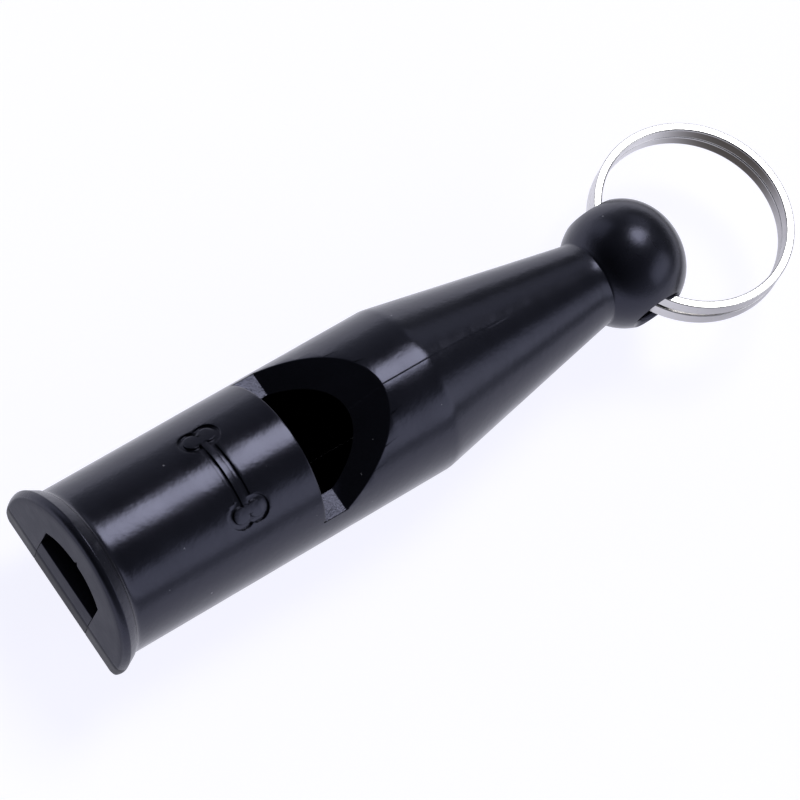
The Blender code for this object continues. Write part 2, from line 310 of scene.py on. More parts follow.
def plastic(name, colour, rough, grain=1.0, specks=True):
    """Injection-moulded black plastic: faint mottling, fine orange peel, hairline rubs and a few specks of dust."""
    mat, tree, bsdf = new_material(name)
    link = tree.links.new
    place_at = node(tree, "ShaderNodeTexCoord").outputs["Object"]
    broad = node(tree, "ShaderNodeTexNoise", Scale=220.0, Detail=3.0, Roughness=0.55)
    fine = node(tree, "ShaderNodeTexNoise", Scale=1900.0, Detail=2.0, Roughness=0.6)
    for tex in (broad, fine):
        link(place_at, tex.inputs["Vector"])
    # colour: two close blacks, mottled
    mix = node(tree, "ShaderNodeMix", data_type="RGBA")
    mix.inputs["A"].default_value = (*colour, 1.0)
    mix.inputs["B"].default_value = (*[min(1.0, c * 1.7) for c in colour], 1.0)
    link(broad.outputs["Fac"], mix.inputs["Factor"])
    colour_out = mix.outputs["Result"]
    # roughness: mottled, a little rougher where it has been handled
    rough_map = node(tree, "ShaderNodeMapRange")
    rough_map.inputs["From Min"].default_value = 0.3
    rough_map.inputs["From Max"].default_value = 0.7
    rough_map.inputs["To Min"].default_value = rough - 0.03
    rough_map.inputs["To Max"].default_value = rough + 0.05
    link(broad.outputs["Fac"], rough_map.inputs["Value"])
    rough_out = rough_map.outputs["Result"]
    if specks:
        # dust: small light dots, one here and there
        cells = node(tree, "ShaderNodeTexVoronoi", Scale=900.0)
        cells.feature = "F1"
        link(place_at, cells.inputs["Vector"])
        size = node(tree, "ShaderNodeTexWhiteNoise", noise_dimensions="3D")
        link(cells.outputs["Position"], size.inputs["Vector"])
        reach = node(tree, "ShaderNodeMapRange")
        reach.inputs["From Min"].default_value = 0.89
        reach.inputs["From Max"].default_value = 1.0
        reach.inputs["To Min"].default_value = 0.0
        reach.inputs["To Max"].default_value = 0.105
        link(size.outputs["Value"], reach.inputs["Value"])
        dot = node(tree, "ShaderNodeMath", operation="LESS_THAN")
        link(cells.outputs["Distance"], dot.inputs[0])
        link(reach.outputs["Result"], dot.inputs[1])
        faint = node(tree, "ShaderNodeMath", operation="MULTIPLY")
        link(dot.outputs["Value"], faint.inputs[0])
        faint.inputs[1].default_value = 0.5
        dust = node(tree, "ShaderNodeMix", data_type="RGBA")
        link(faint.outputs["Value"], dust.inputs["Factor"])
        link(colour_out, dust.inputs["A"])
        dust.inputs["B"].default_value = (0.28, 0.28, 0.31, 1.0)
        colour_out = dust.outputs["Result"]
    link(colour_out, bsdf.inputs["Base Color"])
    link(rough_out, bsdf.inputs["Roughness"])
    bsdf.inputs["IOR"].default_value = 1.55
    bsdf.inputs["Specular Tint"].default_value = (0.70, 0.72, 1.0, 1.0)
    # orange peel and grain, in metres of height
    low = node(tree, "ShaderNodeBump", Strength=0.5 * grain, Distance=0.00010)
    link(broad.outputs["Fac"], low.inputs["Height"])
    high = node(tree, "ShaderNodeBump", Strength=0.4 * grain, Distance=0.000028)
    link(fine.outputs["Fac"], high.inputs["Height"])
    link(low.outputs["Normal"], high.inputs["Normal"])
    # the mouth face is dulled by the lips and teeth
    axes = node(tree, "ShaderNodeSeparateXYZ")
    link(place_at, axes.inputs["Vector"])
    dulled = node(tree, "ShaderNodeMapRange", clamp=True)
    dulled.inputs["From Min"].default_value = AX + 0.02 * MM
    dulled.inputs["From Max"].default_value = AX + 0.12 * MM
    dulled.inputs["To Min"].default_value = 0.22
    dulled.inputs["To Max"].default_value = 0.5
    link(axes.outputs["X"], dulled.inputs["Value"])
    # the window's ledges keep the mould's rougher spark-eroded finish
    flags = []
    for axis, middle, reach in (("X", AX + 27.75 * MM, 1.34 * MM), ("Z", AZ + LEDGE_Z * MM, 0.012 * MM)):
        near = node(tree, "ShaderNodeMath", operation="COMPARE")
        link(axes.outputs[axis], near.inputs[0])
        near.inputs[1].default_value = middle
        near.inputs[2].default_value = reach
        flags.append(near.outputs["Value"])
    on_ledge = node(tree, "ShaderNodeMath", operation="MULTIPLY")
    link(flags[0], on_ledge.inputs[0])
    link(flags[1], on_ledge.inputs[1])
    pits = node(tree, "ShaderNodeTexNoise", Scale=3600.0, Detail=2.0, Roughness=0.7)
    link(place_at, pits.inputs["Vector"])
    deep = node(tree, "ShaderNodeMath", operation="MULTIPLY")
    link(pits.outputs["Fac"], deep.inputs[0])
    link(on_ledge.outputs["Value"], deep.inputs[1])
    coarse = node(tree, "ShaderNodeMath", operation="MULTIPLY_ADD")
    link(on_ledge.outputs["Value"], coarse.inputs[0])
    coarse.inputs[1].default_value = 0.06
    # rougher mouth face from wear; the same mask also lays a painted bluish sheen on its colour
    face_wear_and_sheen = node(tree, "ShaderNodeMapRange", clamp=True)
    face_wear_and_sheen.inputs["From Min"].default_value = AX + 0.02 * MM
    face_wear_and_sheen.inputs["From Max"].default_value = AX + 0.12 * MM
    face_wear_and_sheen.inputs["To Min"].default_value = 0.20
    face_wear_and_sheen.inputs["To Max"].default_value = 0.0
    link(axes.outputs["X"], face_wear_and_sheen.inputs["Value"])
    rubbed = []
    for start, end, most in ((AX + 1.6 * MM, AX + 3.4 * MM, 0.09), (AX + 67.6 * MM, AX + 67.0 * MM, 0.05)):
        band = node(tree, "ShaderNodeMapRange", clamp=True)
        band.inputs["From Min"].default_value = start
        band.inputs["From Max"].default_value = end
        band.inputs["To Min"].default_value = most
        band.inputs["To Max"].default_value = 0.0
        link(axes.outputs["X"], band.inputs["Value"])
        rubbed.append(band.outputs["Result"])
    # the edge under the mouth face rests on the lower teeth
    below = node(tree, "ShaderNodeMath", operation="LESS_THAN")
    link(axes.outputs["Z"], below.inputs[0])
    below.inputs[1].default_value = AZ + (FOLD_Z - 0.03) * MM
    ahead = node(tree, "ShaderNodeMath", operation="LESS_THAN")
    link(axes.outputs["X"], ahead.inputs[0])
    ahead.inputs[1].default_value = AX + 0.75 * MM
    bitten = node(tree, "ShaderNodeMath", operation="MULTIPLY")
    link(below.outputs["Value"], bitten.inputs[0])
    link(ahead.outputs["Value"], bitten.inputs[1])
    bitten_rough = node(tree, "ShaderNodeMath", operation="MULTIPLY")
    link(bitten.outputs["Value"], bitten_rough.inputs[0])
    bitten_rough.inputs[1].default_value = 0.16
    rubbed.append(bitten_rough.outputs["Value"])
    rubbed.append(face_wear_and_sheen.outputs["Result"])
    total_rough = rough_out
    for extra in rubbed:
        base_rough = node(tree, "ShaderNodeMath", operation="ADD")
        link(total_rough, base_rough.inputs[0])
        link(extra, base_rough.inputs[1])
        total_rough = base_rough.outputs["Value"]
    # painted sheen: the mouth face is tinted blue-grey in place of reflected light
    haze = node(tree, "ShaderNodeMix", data_type="RGBA")
    face_sheen_amount = node(tree, "ShaderNodeMath", operation="MULTIPLY")
    link(face_wear_and_sheen.outputs["Result"], face_sheen_amount.inputs[0])
    face_sheen_amount.inputs[1].default_value = 5.0
    link(face_sheen_amount.outputs["Value"], haze.inputs["Factor"])
    link(colour_out, haze.inputs["A"])
    haze.inputs["B"].default_value = (0.0145, 0.0155, 0.026, 1.0)
    link(haze.outputs["Result"], bsdf.inputs["Base Color"])
    link(total_rough, coarse.inputs[2])
    gloss_loss = node(tree, "ShaderNodeMath", operation="MULTIPLY_ADD")
    link(bitten.outputs["Value"], gloss_loss.inputs[0])
    gloss_loss.inputs[1].default_value = -0.28
    link(dulled.outputs["Result"], gloss_loss.inputs[2])
    kept = node(tree, "ShaderNodeMath", operation="MAXIMUM")
    link(gloss_loss.outputs["Value"], kept.inputs[0])
    kept.inputs[1].default_value = 0.12
    link(kept.outputs["Value"], bsdf.inputs["Specular IOR Level"])
    link(coarse.outputs["Value"], bsdf.inputs["Roughness"])
    eroded = node(tree, "ShaderNodeBump", Strength=0.9, Distance=0.00005)
    link(deep.outputs["Value"], eroded.inputs["Height"])
    link(high.outputs["Normal"], eroded.inputs["Normal"])
    link(eroded.outputs["Normal"], bsdf.inputs["Normal"])
    return mat


def nickel(name):
    """Nickel-plated spring steel: the flats are rubbed bright, the sides are duller drawn metal; painted shade darkens
    the far inner wall and greys the near outer sides.
    """
    mat, tree, bsdf = new_material(name)
    link = tree.links.new
    coords = node(tree, "ShaderNodeTexCoord")
    place_at = coords.outputs["Object"]

    def math_node(op, a, b=None):
        made = node(tree, "ShaderNodeMath", operation=op)
        for i, value in enumerate((a, b)):
            if value is None:
                continue
            if isinstance(value, (int, float)):
                made.inputs[i].default_value = value
            else:
                link(value, made.inputs[i])
        return made.outputs["Value"]

    lies = Matrix.Rotation(RING_TILT, 4, "Y") @ Matrix.Rotation(-RING_ROLL, 4, "X")
    centre = TO_WORLD @ RING_CENTRE

    def along(socket, vector):
        made = node(tree, "ShaderNodeVectorMath", operation="DOT_PRODUCT")
        link(socket, made.inputs[0])
        made.inputs[1].default_value = vector
        return made.outputs["Value"]

    # how far a spot faces sideways, out of the ring's flat faces
    lift = math_node("ABSOLUTE", along(coords.outputs["Normal"], lies.to_3x3() @ Vector((0, 0, 1))))
    side = node(tree, "ShaderNodeMapRange", interpolation_type="SMOOTHSTEP")
    side.inputs["From Min"].default_value = 0.75
    side.inputs["From Max"].default_value = 0.25
    link(lift, side.inputs["Value"])
    # painted shade: the inner wall on the far side is darkened in place of the shadow it reflects; found from the
    # inward side and where round the ring
    from_centre = node(tree, "ShaderNodeVectorMath", operation="SUBTRACT")
    link(place_at, from_centre.inputs[0])
    from_centre.inputs[1].default_value = centre
    radial = node(tree, "ShaderNodeVectorMath", operation="NORMALIZE")
    link(from_centre.outputs["Vector"], radial.inputs[0])
    facing = node(tree, "ShaderNodeVectorMath", operation="DOT_PRODUCT")
    link(radial.outputs["Vector"], facing.inputs[0])
    link(coords.outputs["Normal"], facing.inputs[1])
    inward = node(tree, "ShaderNodeMapRange", interpolation_type="SMOOTHSTEP")
    inward.inputs["From Min"].default_value = 0.1
    inward.inputs["From Max"].default_value = -0.5
    link(facing.outputs["Value"], inward.inputs["Value"])
    round_it = along(radial.outputs["Vector"], Vector((math.cos(math.radians(24)), math.sin(math.radians(24)), 0)))
    far = node(tree, "ShaderNodeMapRange", interpolation_type="SMOOTHSTEP")
    far.inputs["From Min"].default_value = 0.45
    far.inputs["From Max"].default_value = 1.0
    link(round_it, far.inputs["Value"])
    painted_shade_inner = math_node("MULTIPLY", inward.outputs["Result"], far.outputs["Result"])
    # the painted shade spares the wire's rounded edges
    shade_spares_edges = node(tree, "ShaderNodeMapRange", interpolation_type="SMOOTHSTEP")
    shade_spares_edges.inputs["From Min"].default_value = 0.34
    shade_spares_edges.inputs["From Max"].default_value = 0.04
    link(lift, shade_spares_edges.inputs["Value"])
    painted_shade_inner = math_node("MULTIPLY", painted_shade_inner, shade_spares_edges.outputs["Result"])

    # painted shade: the sides on the near part of the ring are greyed
    near_side = along(radial.outputs["Vector"], Vector((math.cos(math.radians(-75)), math.sin(math.radians(-75)), 0)))
    near = node(tree, "ShaderNodeMapRange", interpolation_type="SMOOTHSTEP")
    near.inputs["From Min"].default_value = 0.2
    near.inputs["From Max"].default_value = 1.0
    link(near_side, near.inputs["Value"])
    painted_shade_outer = math_node("MULTIPLY", math_node("MULTIPLY", side.outputs["Result"], near.outputs["Result"]), 0.8)
    haze = node(tree, "ShaderNodeTexNoise", Scale=500.0, Detail=4.0, Roughness=0.6)
    link(place_at, haze.inputs["Vector"])
    lines = node(tree, "ShaderNodeTexNoise", Scale=1.0, Detail=2.0, Roughness=0.5)
    stretch = node(tree, "ShaderNodeMapping")
    stretch.inputs["Scale"].default_value = (260.0, 260.0, 11000.0)
    link(place_at, stretch.inputs["Vector"])
    link(stretch.outputs["Vector"], lines.inputs["Vector"])
    bright = node(tree, "ShaderNodeMix", data_type="RGBA")
    bright.inputs["A"].default_value = (0.72, 0.71, 0.70, 1.0)
    bright.inputs["B"].default_value = (0.80, 0.79, 0.78, 1.0)
    link(haze.outputs["Fac"], bright.inputs["Factor"])
    dull = node(tree, "ShaderNodeMix", data_type="RGBA")
    dull.inputs["B"].default_value = (0.60, 0.59, 0.60, 1.0)
    link(bright.outputs["Result"], dull.inputs["A"])
    link(side.outputs["Result"], dull.inputs["Factor"])
    # painted shade colour for the far inner wall
    dark = node(tree, "ShaderNodeMix", data_type="RGBA")
    dark.inputs["B"].default_value = (0.062, 0.054, 0.046, 1.0)
    link(dull.outputs["Result"], dark.inputs["A"])
    link(painted_shade_inner, dark.inputs["Factor"])
    # painted shade colour for the near outer sides
    grey = node(tree, "ShaderNodeMix", data_type="RGBA")
    grey.inputs["B"].default_value = (0.27, 0.26, 0.27, 1.0)
    link(dark.outputs["Result"], grey.inputs["A"])
    link(painted_shade_outer, grey.inputs["Factor"])
    link(grey.outputs["Result"], bsdf.inputs["Base Color"])
    rough = node(tree, "ShaderNodeMapRange")
    rough.inputs["From Min"].default_value = 0.3
    rough.inputs["From Max"].default_value = 0.7
    rough.inputs["To Min"].default_value = 0.16
    rough.inputs["To Max"].default_value = 0.26
    link(haze.outputs["Fac"], rough.inputs["Value"])
    link(math_node("ADD", rough.outputs["Result"], math_node("MULTIPLY", side.outputs["Result"], 0.1)), bsdf.inputs["Roughness"])
    bsdf.inputs["Metallic"].default_value = 1.0
    bump = node(tree, "ShaderNodeBump", Strength=0.25, Distance=0.000006)
    link(lines.outputs["Fac"], bump.inputs["Height"])
    link(bump.outputs["Normal"], bsdf.inputs["Normal"])
    return mat


body_black = plastic("body_black", (0.0022, 0.0024, 0.0034), 0.19)
plug_black = plastic("plug_black", (0.0026, 0.0028, 0.0036), 0.27, grain=1.4)
ring_nickel = nickel("ring_nickel")


# ---------------------------------------------------------------- body
def ball_radius(x):
    if x > BALL_X:
        u = min(1.0, (x - BALL_X) / BALL_END_A)
        return BALL_R * (1 - u**BALL_END_POWER) ** (1 / BALL_END_POWER)
    u = min(1.0, (BALL_X - x) / BALL_NECK_A)
    return BALL_R * math.sqrt(1 - u * u)


LIP_LINE = smooth_line(
    [(3.0, TUBE_R), (2.64, TUBE_R + 0.05), (2.34, TUBE_R + 0.19), (2.08, TUBE_R + 0.43), (1.86, TUBE_R + 0.74)]
    + [(1.58, LIP_R - 0.12), (1.12, LIP_R), (0.64, LIP_R - 0.05), (0.27, LIP_R - 0.24), (0.07, LIP_R - 0.48), (0.0, LIP_R - 0.70)],
    3,
)


def body_profile():
    slope = (TUBE_R - CONE_END_R) / (NECK_LINE_X - CREASE_X)
    joint = BALL_X - BALL_NECK_A
    while TUBE_R - slope * (joint - CREASE_X) > ball_radius(joint):
        joint += 0.005
    neck_r = TUBE_R - slope * (joint - CREASE_X)
    points = [(BALL_X + BALL_END_A, 0.0)]
    for k in range(1, 31):
        a = math.radians(3 * k)
        power = 2 / BALL_END_POWER
        points.append((BALL_X + BALL_END_A * max(0.0, math.cos(a)) ** power, BALL_R * math.sin(a) ** power))
    last = math.acos((BALL_X - joint) / BALL_NECK_A)
    for k in range(1, 15):
        a = math.pi / 2 - (math.pi / 2 - last) * k / 15
        points.append((BALL_X - BALL_NECK_A * math.cos(a), BALL_R * math.sin(a)))
    # the crease between ball and cone has a very small root radius
    points += [(joint + 0.10, ball_radius(joint + 0.10)), (joint, neck_r + 0.03), (joint - 0.10, neck_r + slope * 0.10)]
    for x in (67.6, 66.0, 64.0, 62.0, 60.0, 58.0, 56.0, 54.0, 52.0, 50.0, 48.0, 46.0, 44.8):
        points.append((x, TUBE_R - slope * (x - CREASE_X)))
    # the crease between cone and tube is slightly eased
    for x in (44.25, 44.0, 43.8, 43.6, 43.35):
        t = (x - 43.35) / 0.9
        points.append((x, TUBE_R - slope * 0.45 * t * t))
    for x in (42.0, 40.0, 38.6, 37.0, 35.0, 33.0, 31.0, 29.4, 28.4, 27.2, 26.15, 25.2, 23.8, 22.2):
        points.append((x, TUBE_R))
    for x in (20.9, 20.2, 19.4, 18.6, 17.8, 17.0, 16.2, 15.4, 14.0, 12.0, 10.0, 8.0, 6.2, 4.8, 4.0):
        points.append((x, TUBE_R))
    points += [(3.5, TUBE_R)] + LIP_LINE
    points += [(0.0, 9.3), (0.0, 8.0)]
    return points


underside_outline = [(-3.0, -14.0), (-3.0, FOLD_Z)] + [(0.0, FOLD_Z)]
face_corner = rounded(
    [
        (0.0, FOLD_Z, 0),
        (FACE_LEAN, FACE_BOTTOM, 0.5),
        (2.35, FACE_BOTTOM, 0.6),
        (THROAT_X, THROAT_Z, 0.5),
        (SLOPE_END_X, -9.5, 0),
    ],
    6,
)[1:]
face_corner = [p for p in face_corner if p[0] < SLOPE_END_X - 0.01]
slope_out = (9.5 + THROAT_Z) / (SLOPE_END_X - THROAT_X)


def underside_cutter():
    end_x = SLOPE_END_X + 1.0
    outline = underside_outline + face_corner
    outline += [(end_x, THROAT_Z - slope_out * (end_x - THROAT_X)), (end_x, -14.0)]
    return prism("cut_underside", outline, -14.0, 14.0)


def lip_radius(x):
    """The lip's outer radius at a distance x from the face."""
    for (x0, r0), (x1, r1) in zip(LIP_LINE, LIP_LINE[1:]):
        if min(x0, x1) <= x <= max(x0, x1):
            return r0 + (r1 - r0) * (x - x0) / (x1 - x0)
    return FACE_R if x < 1 else TUBE_R


def rounded_d(radius, chord, corner, grow):
    """A circle with its lower part cut off at z = chord, its two corners rounded; from the lowest right point."""
    radius += grow
    centre_z = chord + corner
    centre_y = math.sqrt((radius - corner) ** 2 - centre_z**2)
    reach = math.degrees(math.atan2(centre_z, centre_y))
    right = arc(centre_y, centre_z, corner, -90.0, reach, 14)
    top = arc(0.0, 0.0, radius, reach, 180.0 - reach, 96)[1:-1]
    left = [(-y, z) for y, z in right[::-1]]
    return right + top + left


def mouth_cutter():
    """Everything outside a D-shaped mouth end whose lower corners are rounded."""
    stations = [(-2.0, FOLD_Z), (0.0, FOLD_Z)]
    stations += [(x, z) for x, z in face_corner if x < 2.9]
    fold_x, fold_z = stations[2]
    extra = [(fold_x * t, FOLD_Z + (fold_z - FOLD_Z) * t) for t in (0.12, 0.25, 0.4, 0.55, 0.7, 0.85)]
    stations = stations[:2] + extra + stations[2:]
    rings = []
    for x, chord in stations:
        depth = (FOLD_Z - chord) / (FOLD_Z - FACE_BOTTOM)
        corner = 1.10 + 0.30 * depth
        outline = rounded_d(lip_radius(max(0.0, x)), chord - 0.02, corner, 0.02)
        rings.append([(x - 0.02, y, z) for y, z in outline])
    n = len(rings[0])
    wide = [(y * 14.0 / math.hypot(y, z), z * 14.0 / math.hypot(y, z)) for x, y, z in rings[-1]]
    # a thick shell: inside it the loft, outside it a wide drum
    verts = [v for ring in rings for v in ring]
    faces = []
    for r in range(len(rings) - 1):
        for i in range(n):
            j = (i + 1) % n
            faces.append((r * n + i, r * n + j, (r + 1) * n + j, (r + 1) * n + i))
    base = len(verts)
    verts += [(rings[0][0][0], y, z) for y, z in wide] + [(rings[-1][0][0], y, z) for y, z in wide]
    end = (len(rings) - 1) * n
    for i in range(n):
        j = (i + 1) % n
        faces.append((base + i, base + n + i, base + n + j, base + j))
        faces.append((i, base + i, base + j, j))
        faces.append((end + i, end + j, base + n + j, base + n + i))
    mesh = mesh_from("cut_mouth", verts, faces)
    bm = bmesh.new()
    bm.from_mesh(mesh)
    bmesh.ops.recalc_face_normals(bm, faces=bm.faces)
    bm.to_mesh(mesh)
    bm.free()
    return add_object("cut_mouth", mesh)


def bone_outline(half_length, knob, apart, shaft):
    """A dog-bone outline in (s, x), counter-clockwise: four knobs on a straight shaft."""
    cs = half_length - knob
    end = math.atan2(-apart, math.sqrt(knob**2 - apart**2))
    join = math.atan2(shaft - apart, -math.sqrt(knob**2 - (apart - shaft) ** 2)) % (2 * math.pi)
    quarter = []
    for k in range(19):
        a = end + (join - end) * k / 18
        quarter.append((cs + knob * math.cos(a), apart + knob * math.sin(a)))
    quarter += [(quarter[-1][0] * t, shaft) for t in (0.75, 0.5, 0.25)]
    upper = quarter + [(0.0, shaft)] + [(-s, x) for s, x in quarter[::-1]]
    lower = [(-s, -x) for s, x in upper[1:-1]]
    return upper + lower


def mark_solid(name, outline, centre_x, low, high):
    """The outline wrapped round the tube, from radius low to radius high."""
    n = len(outline)
    verts = []
    for r in (low, high):
        for s, x in outline:
            a = s / TUBE_R
            verts.append((centre_x + x, r * math.sin(a), r * math.cos(a)))
    mesh = mesh_from(name, verts, [])
    bm = bmesh.new()
    bm.from_mesh(mesh)
    bm.verts.ensure_lookup_table()
    for i in range(n):
        j = (i + 1) % n
        bm.faces.new([bm.verts[k] for k in (i, j, j + n, i + n)])
    # floor and lid follow the tube's curve: strips between the two long sides
    for base in (0, n):
        for i in range(n // 2):
            quad = []
            for k in (i, i + 1, (n - i - 1) % n, (n - i) % n):
                if bm.verts[base + k] not in quad:
                    quad.append(bm.verts[base + k])
            if len(quad) >= 3:
                bm.faces.new(quad)
    bmesh.ops.recalc_face_normals(bm, faces=bm.faces)
    bm.to_mesh(mesh)
    bm.free()
    return add_object(name, mesh)


def mark_cutters():
    """A plain dog-bone mark pressed into the top of the tube: a groove round a raised island."""
    stroke, depth = 0.56, 0.34
    knob, apart, shaft = 1.50, 0.90, 0.92
    mark = mark_solid("cut_mark", bone_outline(6.35, knob, apart, shaft), 18.1, TUBE_R - depth, TUBE_R + 0.6)
    island = mark_solid(
        "cut_island", bone_outline(6.35 - stroke, knob - stroke, apart, shaft - stroke), 18.1, TUBE_R - 1.0, TUBE_R + 1.2
    )
    cut(mark, [island])
    bpy.data.objects.remove(island, do_unlink=True)
    return [mark]


def body_cutters():
    chamber = lathe(
        "cut_chamber",
        [(CHAMBER_START, 0.0), (CHAMBER_START, CHAMBER_R), (CHAMBER_END - 0.8, CHAMBER_R)]
        + [(CHAMBER_END - 0.8 + 0.8 * math.sin(math.radians(a)), CHAMBER_R - 0.8 + 0.8 * math.cos(math.radians(a))) for a in (18, 36, 54, 72, 90)]
        + [(CHAMBER_END, 0.0)],
        144,
        start=0.011,
    )
    edge = math.degrees(math.acos(WINDWAY_W / WINDWAY_R))
    channel = prism_x(
        "cut_channel",
        [(-WINDWAY_W, FLOOR_Z), (WINDWAY_W, FLOOR_Z)] + arc(0.0, 0.0, WINDWAY_R, edge, 180.0 - edge, 36),
        -2.0,
        WINDOW_X + 0.4,
    )
    k = (9.5 - LEDGE_Z) / (RAMP_TOP_X - LEDGE_X)
    window = prism(
        "cut_window",
        [(WINDOW_X, LEDGE_Z), (LEDGE_X, LEDGE_Z), (LEDGE_X + (13.0 - LEDGE_Z) / k, 13.0), (WINDOW_X, 13.0)],
        -14.0,
        14.0,
    )
    mouth = math.sqrt(BALL_R**2 - (HOLE_R + 0.45) ** 2)
    flare = [(mouth - 0.55 + 0.55 * math.sin(math.radians(a)), HOLE_R + 0.55 - 0.55 * math.cos(math.radians(a))) for a in (0, 15, 30, 45, 60)]
    last_y, last_r = flare[-1]
    flare.append((last_y + 1.5, last_r + 2.6))
    hole_profile = [(12.0, 0.0), (12.0, flare[-1][1])] + flare[::-1]
    hole_profile += [(-y, r) for y, r in flare] + [(-12.0, flare[-1][1]), (-12.0, 0.0)]
    hole = lathe("cut_hole", hole_profile, 96, axis="Y", centre=(HOLE_X, 0.0, 0.0), start=0.02)
    notch = prism_x("cut_notch", [(-0.34, WINDWAY_R - 0.25), (0.34, WINDWAY_R - 0.25), (0.0, WINDWAY_R + 0.5)], -1.0, 1.6)
    return [chamber, channel, underside_cutter(), mouth_cutter(), window, hole, notch] + mark_cutters()


def half_body(side, sign, tools):
    obj = lathe("body_shell_" + side, body_profile(), SIDES, start=math.pi / SIDES)
    # a hairline joint behind the window; in front of it the weld is flush
    away = -sign
    line = [(-5.0, 0.003), (WINDOW_X, 0.003), (WINDOW_X, 0.022), (CREASE_X, 0.022), (CREASE_X + 2.0, 0.009), (54.0, 0.003), (90.0, 0.003)]
    outline = [(x, SEAM_Y + sign * g) for x, g in line] + [(90.0, SEAM_Y + away * 30.0), (-5.0, SEAM_Y + away * 30.0)]
    n = len(outline)
    verts = [(x, y, -20.0) for x, y in outline] + [(x, y, 20.0) for x, y in outline]
    faces = [tuple(range(n)), tuple(range(2 * n - 1, n - 1, -1))]
    faces += [(i, i + n, (i + 1) % n + n, (i + 1) % n) for i in range(n)]
    mesh = mesh_from("cut_side_" + side, verts, faces)
    bm = bmesh.new()
    bm.from_mesh(mesh)
    bmesh.ops.recalc_face_normals(bm, faces=bm.faces)
    bm.to_mesh(mesh)
    bm.free()
    splitter = add_object("cut_side_" + side, mesh)
    cut(obj, tools + [splitter])

    def width(edge, middle):
        seam = any(abs(f.normal.y) > 0.999 and abs(middle.y - SEAM_Y) < 0.05 for f in edge.link_faces)
        r = math.hypot(middle.y, middle.z)
        if seam:
            if not (WINDOW_X + 0.05 < middle.x < 54.0 and r > 6.0):
                return 0.0
            return 0.03 if middle.x < CREASE_X else 0.014
        if 14.5 < middle.x < 22.0 and r > TUBE_R - 0.5 and middle.z > 4.0:
            return 0.05
        if abs(middle.x - HOLE_X) < 4.5:
            return 0.0
        if abs(middle.x - WINDOW_X) < 0.06 and r > 8.0:
            return 0.12
        if middle.x < 2.4 and middle.z < -0.2 and abs(middle.y) > 7.0:
            return 0.0
        if middle.z < FLOOR_Z - 0.05 and middle.x < 24.0:
            return 0.14
        return 0.085

    soften_edges(obj, width)
    bpy.data.objects.remove(splitter, do_unlink=True)
    return obj


tools = body_cutters()
shells = []
for side, sign in (("left", 1.0), ("right", -1.0)):
    shell = half_body(side, sign, tools)
    shells.append(place(shell, "whistle", ["body_" + side], body_black))
for tool in tools:
    bpy.data.objects.remove(tool, do_unlink=True)

# ---------------------------------------------------------------- plug
GAP = 0.035
floor_z = FLOOR_Z + GAP
floor_x = THROAT_X + (THROAT_Z - floor_z) / slope_out
plug_outline = [(0.0, PLUG_MOUTH_Z), (0.0, FOLD_Z)] + face_corner
plug_outline = [p for p in plug_outline if p[0] < THROAT_X + 0.5]
plug_outline += [(floor_x, floor_z), (WINDOW_X, floor_z), (WINDOW_X, PLUG_WINDOW_Z)]
plug = prism("windway_plug_fine", plug_outline, -(WINDWAY_W - GAP), WINDWAY_W - GAP)
outer = arc(0.0, 0.0, WINDWAY_R - GAP, 0.0, 180.0, 72) + [(-12.0, 0.0), (-12.0, 12.0), (12.0, 12.0), (12.0, 0.0)]
corners = prism_x("cut_corners", outer, -6.0, 34.0)
cut(plug, [corners])
bpy.data.objects.remove(corners, do_unlink=True)
soften_edges(plug, lambda edge, middle: 0.07)
place(plug, "whistle", ["windway_plug"], plug_black)


# ---------------------------------------------------------------- split ring
def ring_height(turned):
    climb = 2 * math.pi - RING_RISE
    t = min(1.0, max(0.0, (turned - climb) / RING_RISE))
    opened = math.cos(min(1.0, turned / RING_SPREAD_ANGLE) * math.pi / 2) ** 2
    return RING_PITCH * (t * t * (3 - 2 * t) - 0.5) - RING_SPREAD * opened


def split_ring():
    w, h = RING_W / 2, RING_H / 2
    section = rounded([(-w, -h, 0.23), (w, -h, 0.16), (w, h, 0.16), (-w, h, 0.23)], 6)
    total = 4 * math.pi - RING_RISE - math.radians(1.5)
    steps = 560
    mean = RING_R - w
    n = len(section)
    verts, faces = [], []
    for i in range(steps + 1):
        turned = total * i / steps
        a = RING_START + turned
        # the wire's two ends are slightly tapered, as they are when ground
        end = min(turned, total - turned) * mean
        shrink = 1.0 - 0.18 * max(0.0, 1 - end / 0.35) ** 2
        out, up = Vector((math.cos(a), math.sin(a), 0.0)), Vector((0.0, 0.0, 1.0))
        centre = out * mean + up * ring_height(turned)
        for u, v in section:
            verts.append(tuple(centre + out * u * shrink + up * v * shrink))
    for i in range(steps):
        for k in range(n):
            a, b = i * n, (i + 1) * n
            faces.append((a + k, a + (k + 1) % n, b + (k + 1) % n, b + k))
    faces.append(tuple(range(n - 1, -1, -1)))
    faces.append(tuple(range(steps * n, steps * n + n)))
    mesh = mesh_from("split_ring_fine", verts, faces)
    bm = bmesh.new()
    bm.from_mesh(mesh)
    bmesh.ops.recalc_face_normals(bm, faces=bm.faces)
    lies = Matrix.Rotation(RING_TILT, 4, "Y") @ Matrix.Rotation(-RING_ROLL, 4, "X")
    bm.transform(Matrix.Translation(RING_CENTRE) @ lies)
    bm.to_mesh(mesh)
    bm.free()
    return add_object("split_ring_fine", mesh)


place(split_ring(), "ring", ["split_ring"], ring_nickel)

